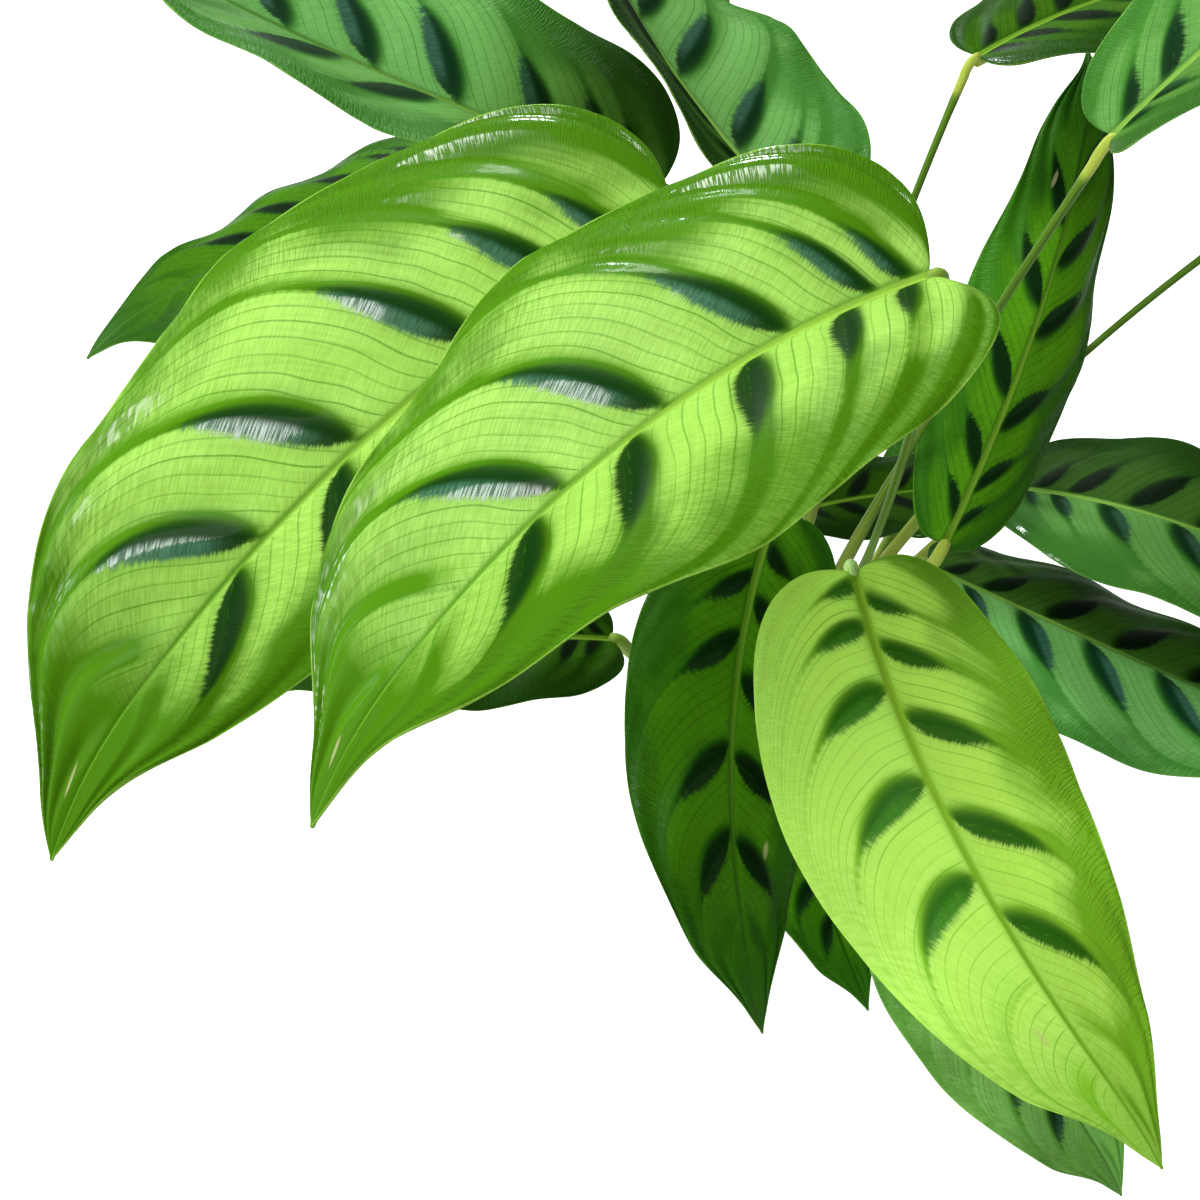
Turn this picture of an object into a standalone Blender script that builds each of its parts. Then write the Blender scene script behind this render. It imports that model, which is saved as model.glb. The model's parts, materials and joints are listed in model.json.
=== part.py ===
# A potted calathea: plain round pot, potting mix, and long-stalked leaves that arch out of one crown.
# Metres, +Z up. The origin is the middle of the pot's underside. Each leaf, with its stalk, is one closed solid.
import math
from collections import namedtuple

import bmesh
import bpy
from mathutils import Vector

# Pot
POT_HEIGHT = 0.118
POT_TOP_R = 0.063
POT_FOOT_R = 0.047
POT_WALL = 0.0045
POT_FLOOR = 0.006
RIM_HEIGHT = 0.014
RIM_PROUD = 0.0022
DRAIN_HOLES = 3
DRAIN_R = 0.0045
DRAIN_RING_R = 0.024
POT_SIDES = 40

# Potting mix
SOIL_TOP = 0.106
SOIL_CROWN = 0.003
SOIL_GAP = 0.0004
HOLE_GAP = 0.0009
HOLE_SIDES = 9

# Stalks: a slim stalk in the soil, thicker at its sheath, and a swollen joint under the blade
STALK_R = 0.00165
SHEATH_R = 0.0023
SHEATH_LENGTH = 0.11
JOINT_R = 0.0020
JOINT_LENGTH = 0.017
ROOT_DEPTH = 0.012
COLLAR = 0.006
KNEE = 0.0055
STALK_SIDES = 7
STALK_RINGS = 11
KNEE_RINGS = 3

# Blades
BLADE_THICKNESS = 0.0008
STATIONS = (0.0, 0.012, 0.045, 0.10, 0.17, 0.26, 0.36, 0.46, 0.56, 0.66, 0.76, 0.85, 0.93, 0.978)
COLUMNS = (-1.0, -0.68, -0.34, 0.0, 0.34, 0.68, 1.0)
MIDRIB_STEPS = 80
BASE_FULLNESS = 0.50
TIP_TAPER = 0.95
LOBE_REACH = 0.55
LOBE_SPAN = 0.30
TIP_CURL_FROM = 0.80
WAVES = 3.2
WAVE_HEIGHT = 0.0025

# One leaf: where its stalk stands (turn and distance from the crown's middle) and how it bows, the
# blade's foot, the way it sets off (heading, rise), how it bends on the way (droop, sway), how it lies
# (roll, twist), its length and width, how much wider its right half is, its gutter and its edge curl.
Leaf = namedtuple("Leaf", "turn reach bow foot heading rise droop sway roll twist length width skew fold curl")
INNER, MIDDLE, OUTER = 0.006, 0.0135, 0.021
LEAVES = (
    Leaf(-90, INNER, (0.018, 0), (0.002, -0.086, 0.503),
         -159, -7, 16, 39, 8, -30, 0.224, 0.128, 1.07, 33, 37),
    Leaf(-143, MIDDLE, (0, 0), (-0.066, -0.045, 0.492),
         -149, -8, 17, 30, 15, -5, 0.255, 0.132, 1.20, 27, 46),
    Leaf(180, INNER, (0, 0), (-0.019, -0.012, 0.465),
         136, 20, -15, -26, 0, -58, 0.193, 0.092, 1.14, 34, 12),
    Leaf(-176, MIDDLE, (0, 0), (-0.065, 0.049, 0.447),
         180, 21, 0, -19, 9, -3, 0.223, 0.104, 1.08, 35, 18),
    Leaf(-30, MIDDLE, (0, 0), (0.053, -0.024, 0.320),
         57, 42, 26, 23, -28, -1, 0.255, 0.066, 0.98, 9, 44),
    Leaf(-45, OUTER, (0.016, -0.005), (-0.009, -0.100, 0.400),
         -85, -9, 18, 40, -19, -10, 0.200, 0.090, 1.07, 9, 28),
    Leaf(0, INNER, (-0.012, -0.006), (0.079, 0.015, 0.483),
         2, 58, 29, 4, -3, -1, 0.191, 0.080, 0.97, 31, 23),
    Leaf(52, MIDDLE, (-0.015, 0), (0.052, 0.097, 0.474),
         33, 11, 31, -2, 4, -5, 0.190, 0.075, 1.05, 21, 37),
    Leaf(15, MIDDLE, (0, 0.03), (0.163, 0.056, 0.426),
         40, 25, 40, 0, 0, 0, 0.190, 0.074, 1.0, 20, 30),
    Leaf(5, OUTER, (-0.010, 0.015), (0.105, 0.044, 0.292),
         -33, 21, 42, -5, -2, 2, 0.196, 0.105, 1.03, 22, 33),
    Leaf(-18, OUTER, (0, 0), (0.060, 0.013, 0.273),
         -31, -4, 10, 12, 11, -16, 0.220, 0.110, 1.05, 9, 36),
    Leaf(-70, OUTER, (0.030, 0), (0.038, -0.122, 0.238),
         -64, -9, 25, 15, -7, 2, 0.154, 0.083, 1.06, 17, 34),
    Leaf(-98, OUTER, (0, 0), (0.003, -0.051, 0.219),
         -96, -3, 24, 35, 8, 3, 0.125, 0.065, 1.03, 18, 34),
    Leaf(-125, OUTER, (0, 0), (-0.023, -0.037, 0.362),
         -113, -30, 10, 44, 10, 7, 0.204, 0.086, 1.01, 8, 36),
    Leaf(-172, OUTER, (0, 0), (-0.083, -0.016, 0.249),
         -166, 23, 33, 3, 3, -7, 0.163, 0.074, 0.98, 18, 33),
    Leaf(151, MIDDLE, (0, 0), (-0.164, 0.130, 0.423),
         -134, -2, 17, -19, -2, 10, 0.177, 0.088, 0.94, 5, 42),
    Leaf(104, OUTER, (0, 0), (-0.008, 0.121, 0.352),
         78, 24, 30, 0, 0, 0, 0.165, 0.070, 1.0, 20, 30),
    Leaf(80, OUTER, (0, 0), (0.000, 0.075, 0.240),
         10, 10, 25, 0, 0, 0, 0.150, 0.062, 1.0, 20, 30),
    Leaf(125, MIDDLE, (0, 0), (-0.140, 0.165, 0.520),
         150, 18, 30, 0, 0, 0, 0.200, 0.080, 1.0, 20, 30),
    Leaf(90, MIDDLE, (0, 0), (-0.045, 0.170, 0.515),
         95, 20, 40, 0, 0, 0, 0.210, 0.084, 1.0, 20, 30),
    Leaf(130, OUTER, (0, 0), (-0.050, 0.090, 0.300),
         120, 15, 35, 0, 0, 0, 0.180, 0.074, 1.0, 20, 30),
    Leaf(56, OUTER, (0, 0), (0.075, 0.100, 0.200),
         50, 15, 35, 0, 0, 0, 0.165, 0.070, 1.0, 20, 30),
    Leaf(30, OUTER, (0, 0), (0.080, 0.025, 0.175),
         8, 12, 30, 0, 0, 0, 0.165, 0.066, 1.0, 20, 30),
)


def finish(name, colour, roughness):
    """A plain material for one sub-part."""
    material = bpy.data.materials.new(name)
    material.use_nodes = True
    shader = material.node_tree.nodes["Principled BSDF"]
    shader.inputs["Base Color"].default_value = (*colour, 1.0)
    shader.inputs["Roughness"].default_value = roughness
    shader.inputs["Metallic"].default_value = 0.0
    return material


def add_object(name, verts, faces, material, smooth=True):
    """A mesh object, with its faces turned outward."""
    mesh = bpy.data.meshes.new(name)
    bm = bmesh.new()
    points = [bm.verts.new(v) for v in verts]
    for face in faces:
        bm.faces.new([points[i] for i in face])
    bmesh.ops.recalc_face_normals(bm, faces=bm.faces)
    bm.to_mesh(mesh)
    bm.free()
    mesh.materials.append(material)
    if smooth:
        mesh.shade_smooth()
        mesh.set_sharp_from_angle(angle=math.radians(35))
    obj = bpy.data.objects.new(name, mesh)
    bpy.context.collection.objects.link(obj)
    return obj


def cut(obj, cutter, solver="EXACT"):
    """Takes a hidden cutter out of an object."""
    cutter.hide_render = True
    cutter.display_type = "WIRE"
    boolean = obj.modifiers.new(cutter.name, "BOOLEAN")
    boolean.operation = "DIFFERENCE"
    boolean.solver = solver
    boolean.object = cutter


def turned(name, profile, sides, material):
    """A solid turned about Z. The profile goes from the axis, round the outside, back to the axis."""
    verts = [(0.0, 0.0, profile[0][1])]
    rings = profile[1:-1]
    for radius, height in rings:
        for k in range(sides):
            angle = 2 * math.pi * k / sides
            verts.append((radius * math.cos(angle), radius * math.sin(angle), height))
    verts.append((0.0, 0.0, profile[-1][1]))
    top = len(verts) - 1
    faces = []
    for k in range(sides):
        after = (k + 1) % sides
        faces.append((0, 1 + k, 1 + after))
        for ring in range(len(rings) - 1):
            low = 1 + ring * sides
            faces.append((low + k, low + after, low + sides + after, low + sides + k))
        last = 1 + (len(rings) - 1) * sides
        faces.append((last + k, last + after, top))
    return add_object(name, verts, faces, material)


def unit(v):
    return v.normalized()


def smooth_step(t):
    t = min(max(t, 0.0), 1.0)
    return t * t * (3 - 2 * t)


def direction(heading, pitch):
    """A unit vector from degrees of heading, anticlockwise from +X, and of rise."""
    h, p = math.radians(heading), math.radians(pitch)
    return Vector((math.cos(p) * math.cos(h), math.cos(p) * math.sin(h), math.sin(p)))


def midrib(leaf, s):
    """The midrib's point and frame (along, to the right, up through the blade) at a share s of its length."""
    steps = max(1, round(MIDRIB_STEPS * s))
    point = Vector(leaf.foot) + direction(leaf.heading, leaf.rise) * KNEE
    for k in range(steps):
        t = (k + 0.5) / steps * s
        point += direction(*turn_at(leaf, t)) * (leaf.length * s / steps)
    heading, pitch = turn_at(leaf, s)
    along = direction(heading, pitch)
    level = direction(heading - 90, 0)
    above = level.cross(along)
    roll = math.radians(leaf.roll + leaf.twist * s)
    right = level * math.cos(roll) + above * math.sin(roll)
    normal = above * math.cos(roll) - level * math.sin(roll)
    return point, along, right, normal


def turn_at(leaf, s):
    """Heading and pitch at a share s of the midrib, in degrees."""
    curl = 18 * smooth_step((s - TIP_CURL_FROM) / (1 - TIP_CURL_FROM))
    return leaf.heading + leaf.sway * s, leaf.rise - leaf.droop * s - curl


def half_width(leaf, s, side):
    """The blade's width on one side of the midrib."""
    peak = BASE_FULLNESS / (BASE_FULLNESS + TIP_TAPER)
    most = peak**BASE_FULLNESS * (1 - peak) ** TIP_TAPER
    share = (s**BASE_FULLNESS) * ((1 - s) ** TIP_TAPER) / most
    skew = leaf.skew if side > 0 else 2 - leaf.skew
    return max(leaf.width / 2 * share * skew, JOINT_R)


def blade_point(leaf, s, u, lift=0.0):
    """A point of the blade at s along it and u across, from -1 at the left edge to 1 at the right."""
    point, along, right, normal = midrib(leaf, s)
    side, a = (1 if u >= 0 else -1), abs(u)
    width = half_width(leaf, s, side)
    fold = math.radians(leaf.fold) * (1 - 0.4 * s)
    curl = math.radians(leaf.curl) * (0.35 + 0.65 * math.sin(math.pi * min(s + 0.12, 1)))
    out = width * (math.sin(fold) - math.sin(fold - curl * a)) / curl
    up = width * (math.cos(fold - curl * a) - math.cos(fold)) / curl
    phase = 2 * math.pi * WAVES * s + (0.0 if side > 0 else 1.9)
    up += WAVE_HEIGHT * a * a * math.sin(phase) * min(1, 6 * s) * min(1, 4 * (1 - s))
    back = LOBE_REACH * out * max(0.0, 1 - s / LOBE_SPAN) ** 2
    return point + right * (side * out) + normal * (up + lift) - along * back


def stand(leaf):
    """Where the stalk stands, across the soil."""
    turn = math.radians(leaf.turn)
    return leaf.reach * math.cos(turn), leaf.reach * math.sin(turn)


def stalk_path(leaf):
    """Points up the stalk's middle, from its root in the soil to just under the blade's knee."""
    root = Vector((*stand(leaf), SOIL_TOP - ROOT_DEPTH))
    collar = root + Vector((0, 0, ROOT_DEPTH + COLLAR))
    foot = Vector(leaf.foot)
    rise = foot.z - collar.z
    lean = unit(foot - collar)
    top = foot - unit(lean + Vector((0, 0, 0.25))) * KNEE
    bow = Vector((*leaf.bow, 0))
    a = collar + Vector((0, 0, rise * 0.30)) + bow
    b = top - unit(lean + unit(foot - a)) * (rise * 0.33) + bow
    path = [root, root + Vector((0, 0, ROOT_DEPTH + COLLAR / 2))]
    for k in range(STALK_RINGS + 1):
        t = k / STALK_RINGS
        point = collar * (1 - t) ** 3 + a * 3 * t * (1 - t) ** 2 + b * 3 * t * t * (1 - t) + top * t**3
        path.append(point)
    return path


def stalk_radius(up, left):
    """The stalk's radius, up from its root and with so much left to the blade."""
    radius = STALK_R + (SHEATH_R - STALK_R) * (1 - smooth_step(up / SHEATH_LENGTH))
    return radius + (JOINT_R - STALK_R) * smooth_step(1.6 - left / JOINT_LENGTH)


def ring(centre, along, right, radius, sides):
    """Points of a round ring, that starts on the left and goes over the top."""
    side = unit(right - along * right.dot(along))
    above = side.cross(along)
    points = []
    for k in range(sides):
        angle = math.pi - 2 * math.pi * k / sides
        points.append(centre + side * (radius * math.cos(angle)) + above * (radius * math.sin(angle)))
    return points


def zip_rings(first, second):
    """Triangles between two closed rings of points with different counts."""
    faces = []
    i = j = 0
    m, n = len(first), len(second)
    while i < m or j < n:
        if j == n or (i < m and (i + 0.5) / m <= (j + 0.5) / n):
            faces.append((first[i % m], first[(i + 1) % m], second[j % n]))
            i += 1
        else:
            faces.append((first[i % m], second[(j + 1) % n], second[j % n]))
            j += 1
    return faces


def build_leaf(name, leaf, material):
    """One leaf: stalk, knee and blade in one closed solid."""
    verts, faces = [], []

    def add_loop(points):
        start = len(verts)
        verts.extend(points)
        return list(range(start, start + len(points)))

    path = stalk_path(leaf)
    foot = Vector(leaf.foot)
    start, along, right, _ = midrib(leaf, 0.0)
    top = path[-1]
    for k in range(1, KNEE_RINGS + 1):
        t = k / (KNEE_RINGS + 1)
        path.append(top * (1 - t) ** 2 + foot * 2 * t * (1 - t) + start * t * t)
    path.append(start)
    total = [0.0]
    for a, b in zip(path, path[1:]):
        total.append(total[-1] + (b - a).length)
    loops = []
    for k, centre in enumerate(path[:-1]):
        after = path[k + 1]
        before = path[k - 1] if k else centre
        way = unit(after - before)
        radius = stalk_radius(total[k], total[-1] - total[k])
        loops.append(add_loop(ring(centre, way, right, radius, STALK_SIDES)))
    bottom = add_loop([path[0]])[0]
    for k in range(STALK_SIDES):
        faces.append((bottom, loops[0][(k + 1) % STALK_SIDES], loops[0][k]))
    for low, high in zip(loops, loops[1:]):
        for k in range(STALK_SIDES):
            after = (k + 1) % STALK_SIDES
            faces.append((low[k], low[after], high[after]))
            faces.append((low[k], high[after], high[k]))

    half = BLADE_THICKNESS / 2
    count = len(COLUMNS)
    blade = []
    for s in STATIONS:
        if s == 0.0:
            loop = add_loop(ring(start, along, right, JOINT_R, 2 * count))
        else:
            upper = [blade_point(leaf, s, u, half) for u in COLUMNS]
            lower = [blade_point(leaf, s, u, -half) for u in reversed(COLUMNS)]
            loop = add_loop(upper + lower)
        blade.append(loop)
    faces.extend(zip_rings(loops[-1], blade[0]))
    size = 2 * count
    for near, far in zip(blade, blade[1:]):
        for k in range(size):
            after = (k + 1) % size
            a, b, c, d = near[k], near[after], far[after], far[k]
            if k % count < count // 2:
                faces.append((a, b, c))
                faces.append((a, c, d))
            else:
                faces.append((a, b, d))
                faces.append((b, c, d))
    tip = add_loop([blade_point(leaf, 1.0, 0.0)])[0]
    for k in range(size):
        faces.append((blade[-1][k], blade[-1][(k + 1) % size], tip))
    return add_object(name, verts, faces, material)


def build_pot(material):
    """The pot: one turned shell with a thicker rim, and drain holes off its middle."""
    slope = (POT_TOP_R - POT_FOOT_R) / POT_HEIGHT
    rim_low = POT_HEIGHT - RIM_HEIGHT
    profile = [
        (0.0, 0.0),
        (POT_FOOT_R - 0.006, 0.0),
        (POT_FOOT_R - 0.001, 0.0),
        (POT_FOOT_R, 0.001),
        (POT_FOOT_R + slope * rim_low * 0.5, rim_low * 0.5),
        (POT_FOOT_R + slope * rim_low, rim_low),
        (POT_FOOT_R + slope * rim_low + RIM_PROUD, rim_low + RIM_PROUD),
        (POT_TOP_R + RIM_PROUD, POT_HEIGHT - 0.0015),
        (POT_TOP_R + RIM_PROUD - 0.0015, POT_HEIGHT),
        (POT_TOP_R - POT_WALL + 0.0015, POT_HEIGHT),
        (POT_TOP_R - POT_WALL, POT_HEIGHT - 0.0015),
        (inner_radius(POT_FLOOR + 0.004), POT_FLOOR + 0.004),
        (inner_radius(POT_FLOOR) - 0.004, POT_FLOOR),
        (0.0, POT_FLOOR),
    ]
    pot = turned("pot", profile, POT_SIDES, material)
    for k in range(DRAIN_HOLES):
        angle = 2 * math.pi * k / DRAIN_HOLES
        centre = (DRAIN_RING_R * math.cos(angle), DRAIN_RING_R * math.sin(angle), POT_FLOOR / 2)
        bpy.ops.mesh.primitive_cylinder_add(vertices=12, radius=DRAIN_R, depth=3 * POT_FLOOR, location=centre)
        cutter = bpy.context.object
        cutter.name = f"drain_cutter_{k + 1}"
        cut(pot, cutter)
    return pot


def inner_radius(height):
    """The radius of the pot's inside at a height."""
    return POT_FOOT_R + (POT_TOP_R - POT_FOOT_R) * height / POT_HEIGHT - POT_WALL


def build_soil(material):
    """The potting mix, a slightly domed plug with a plain hole for each stalk."""
    low = POT_FLOOR + SOIL_GAP
    profile = [
        (0.0, low),
        (inner_radius(low) - 0.0045, low),
        (inner_radius(low + 0.004) - 0.0012, low + 0.0045),
        (inner_radius(SOIL_TOP - SOIL_CROWN) - SOIL_GAP, SOIL_TOP - SOIL_CROWN),
        (inner_radius(SOIL_TOP) * 0.6, SOIL_TOP - SOIL_CROWN * 0.3),
        (inner_radius(SOIL_TOP) * 0.42, SOIL_TOP),
        (0.0, SOIL_TOP),
    ]
    soil = turned("soil", profile, POT_SIDES, material)
    depth = 2 * (ROOT_DEPTH + HOLE_GAP)
    for number, leaf in enumerate(LEAVES, 1):
        bpy.ops.mesh.primitive_cylinder_add(
            vertices=HOLE_SIDES, radius=SHEATH_R + HOLE_GAP, depth=depth, location=(*stand(leaf), SOIL_TOP)
        )
        cutter = bpy.context.object
        cutter.name = f"hole_cutter_{number:02d}"
        cut(soil, cutter)
    return soil


def main():
    for obj in list(bpy.data.objects):
        bpy.data.objects.remove(obj)
    build_pot(finish("pot_glaze", (0.80, 0.77, 0.71), 0.45))
    build_soil(finish("potting_mix", (0.055, 0.036, 0.025), 0.95))
    for number, leaf in enumerate(LEAVES, 1):
        name = f"leaf_{number:02d}"
        build_leaf(name, leaf, finish(f"{name}_green", (0.15, 0.36, 0.06), 0.35))


main()
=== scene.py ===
import math
import random
from types import SimpleNamespace

import bmesh
import bpy
import numpy as np
from mathutils import Matrix, Vector, noise
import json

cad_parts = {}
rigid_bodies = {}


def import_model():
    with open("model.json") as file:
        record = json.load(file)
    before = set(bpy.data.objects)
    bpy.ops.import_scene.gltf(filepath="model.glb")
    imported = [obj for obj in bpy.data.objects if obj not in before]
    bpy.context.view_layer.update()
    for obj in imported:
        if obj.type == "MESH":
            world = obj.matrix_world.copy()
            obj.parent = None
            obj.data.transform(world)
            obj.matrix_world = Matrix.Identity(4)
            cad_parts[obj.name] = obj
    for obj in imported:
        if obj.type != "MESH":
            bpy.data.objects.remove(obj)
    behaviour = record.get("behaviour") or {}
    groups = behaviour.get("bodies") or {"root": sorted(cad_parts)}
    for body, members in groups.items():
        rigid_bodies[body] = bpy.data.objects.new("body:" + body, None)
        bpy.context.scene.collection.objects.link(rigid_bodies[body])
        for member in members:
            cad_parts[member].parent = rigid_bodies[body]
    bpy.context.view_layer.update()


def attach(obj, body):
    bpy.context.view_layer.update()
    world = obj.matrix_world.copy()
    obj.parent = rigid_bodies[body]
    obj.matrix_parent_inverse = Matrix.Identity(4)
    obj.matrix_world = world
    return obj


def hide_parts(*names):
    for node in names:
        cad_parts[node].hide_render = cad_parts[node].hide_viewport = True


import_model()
scene = bpy.context.scene
scene.view_settings.view_transform = "Standard"

# Camera, about 50 degrees above level
view = {"lens": 35, "sensor": 36, "place": (-0.093, -0.361, 0.690), "tilt": 40}
camera = bpy.data.objects.new("camera", bpy.data.cameras.new("camera"))
camera.data.lens = view["lens"]
camera.data.sensor_width = view["sensor"]
camera.location = view["place"]
camera.rotation_euler = (math.radians(view["tilt"]), 0, 0)
scene.collection.objects.link(camera)
scene.camera = camera

# Studio: a soft skylight above on the left, a window low behind it, a broad fill in front, and a dim room
studio = {
    "skylight": {"heading": 180, "height": 72, "away": 2.2, "size": 1.05, "power": 40,
                 "colour": (1.0, 1.0, 0.97)},
    "window": {"heading": 162, "height": 22, "away": 2.4, "size": 0.7, "power": 20,
               "colour": (0.92, 0.97, 1.0)},
    "sidelight": {"heading": 98, "height": 38, "away": 2.4, "size": 0.42, "power": 40,
                  "colour": (0.96, 1.0, 0.98)},
    "fill": {"heading": -152, "height": 34, "away": 2.6, "size": 2.0, "power": 50,
             "colour": (1.0, 1.0, 0.98)},
    "aimHeight": 0.3,
    "roomGlow": 0.14,
    "floorColour": (0.78, 0.78, 0.77),
    "floorReach": 12.0,
    "floorGlow": 0.62,        # under the plant
    "floorFar": 0.92,         # away from the lights
    "floorFade": (0.3, 2.6),
}


def direction(heading, pitch):
    # unit vectors from degrees of heading, anticlockwise from +X, and of rise
    h, p = np.radians(heading), np.radians(pitch)
    return np.stack([np.cos(p) * np.cos(h), np.cos(p) * np.sin(h), np.sin(p) + 0 * h], axis=-1)


def softBox(name, heading, height, away, size, power, colour):
    light = bpy.data.lights.new(name, "AREA")
    light.shape = "SQUARE"
    light.size = size
    light.energy = power
    light.color = colour
    lamp = bpy.data.objects.new(name, light)
    aim = Vector((0, 0, studio["aimHeight"]))
    lamp.location = Vector(direction(heading, height)) * away + aim
    lamp.rotation_euler = (aim - lamp.location).to_track_quat("-Z", "Y").to_euler()
    lamp.visible_camera = False
    scene.collection.objects.link(lamp)


for name in ("skylight", "window", "sidelight", "fill"):
    softBox(name, **studio[name])


class Flow:
    # one output of a node; sums and products of outputs add Math nodes
    def __init__(self, skin, socket):
        self.skin, self.socket = skin, socket

    def math(self, operation, *others):
        inputs = dict(enumerate((self, *others)))
        return self.skin.add("Math", {"operation": operation}, inputs)

    def __add__(self, other):
        return self.math("ADD", other)

    def __radd__(self, other):
        return self.math("ADD", other)

    def __sub__(self, other):
        return self.math("SUBTRACT", other)

    def __rsub__(self, other):
        return self.skin.add("Math", {"operation": "SUBTRACT"}, {0: other, 1: self})

    def __mul__(self, other):
        return self.math("MULTIPLY", other)

    def __truediv__(self, other):
        return self.math("DIVIDE", other)


class Skin:
    # one material; add() makes any node: its kind, its settings, then the values or links of its inputs
    def __init__(self, name, world=None):
        self.material = world or bpy.data.materials.new(name)
        self.material.use_nodes = True
        self.tree = self.material.node_tree
        self.tree.nodes.clear()

    def add(self, kind, settings=None, inputs=None, out=0):
        node = self.tree.nodes.new("ShaderNode" + kind)
        for key, value in (settings or {}).items():
            setattr(node, key, value)
        for key, value in (inputs or {}).items():
            if isinstance(value, Flow):
                self.tree.links.new(value.socket, node.inputs[key])
            else:
                if isinstance(value, tuple) and node.inputs[key].type == "RGBA" and len(value) == 3:
                    value = (*value, 1.0)
                node.inputs[key].default_value = value
        return Flow(self, node.outputs[out]) if node.outputs else node

    def attribute(self, name):
        # the three parts of a vector that the mesh carries
        settings = {"attribute_type": "GEOMETRY", "attribute_name": name}
        return self.parts(self.add("Attribute", settings, out="Vector"))

    def parts(self, vector):
        node = self.add("SeparateXYZ", inputs={0: vector}).socket.node
        return [Flow(self, output) for output in node.outputs]

    def vector(self, x, y, z=0.0):
        return self.add("CombineXYZ", inputs={0: x, 1: y, 2: z})

    def step(self, value, low, high, least=0.0, most=1.0):
        # a soft step from least to most
        settings = {"interpolation_type": "SMOOTHSTEP"}
        return self.add("MapRange", settings, {0: value, 1: low, 2: high, 3: least, 4: most})

    def noise(self, vector, scale, detail=2.0):
        inputs = {"Vector": vector, "Scale": scale, "Detail": detail}
        return self.add("TexNoise", inputs=inputs)

    def mix(self, factor, a, b, blend="MIX"):
        # colours
        return self.add("Mix", {"data_type": "RGBA", "blend_type": blend}, {0: factor, 6: a, 7: b}, out=2)

    def bump(self, height):
        # heights in millimetres
        return self.add("Bump", inputs={"Height": height, "Strength": 1.0, "Distance": 0.001})

    def finish(self, shader):
        self.add("OutputMaterial", inputs={"Surface": shader})
        return self.material


# A room that looks white, but lights and mirrors only dimly
room = bpy.data.worlds.new("room")
scene.world = room
air = Skin("room", room)
seen = air.add("LightPath", out="Is Camera Ray")
glow = seen * (1.0 - studio["roomGlow"]) + studio["roomGlow"]
white = air.add("Background", inputs={"Color": (1.0, 1.0, 1.0), "Strength": glow})
air.add("OutputWorld", inputs={"Surface": white})

floorSkin = Skin("paleFloor")
place = floorSkin.add("TexCoord", out="Object")
cloud = floorSkin.noise(place, 3.0, 0.0)
floorTone = floorSkin.mix(cloud, studio["floorColour"], tuple(c * 0.985 for c in studio["floorColour"]))
# away from the lights the floor glows more, so that it stays as pale as the room
away = floorSkin.add("VectorMath", {"operation": "LENGTH"}, {0: place}, out="Value")
far = floorSkin.step(away, *studio["floorFade"])
floorLight = floorSkin.mix(far, (studio["floorGlow"],) * 3, (studio["floorFar"],) * 3)
floorMesh = bpy.data.meshes.new("floor")
wide = studio["floorReach"]
corners = [(-wide, -wide, 0), (wide, -wide, 0), (wide, wide, 0), (-wide, wide, 0)]
floorMesh.from_pydata(corners, [], [(0, 1, 2, 3)])
floor = bpy.data.objects.new("floor", floorMesh)
floor.location.z = -0.0005    # just under the pot
floorMesh.materials.append(floorSkin.finish(floorSkin.add(
    "BsdfPrincipled", inputs={"Base Color": floorTone, "Roughness": 0.9, "Specular IOR Level": 0.0,
                              "Emission Color": floorLight, "Emission Strength": 1.0})))
scene.collection.objects.link(floor)
print("stage ready")


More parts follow.
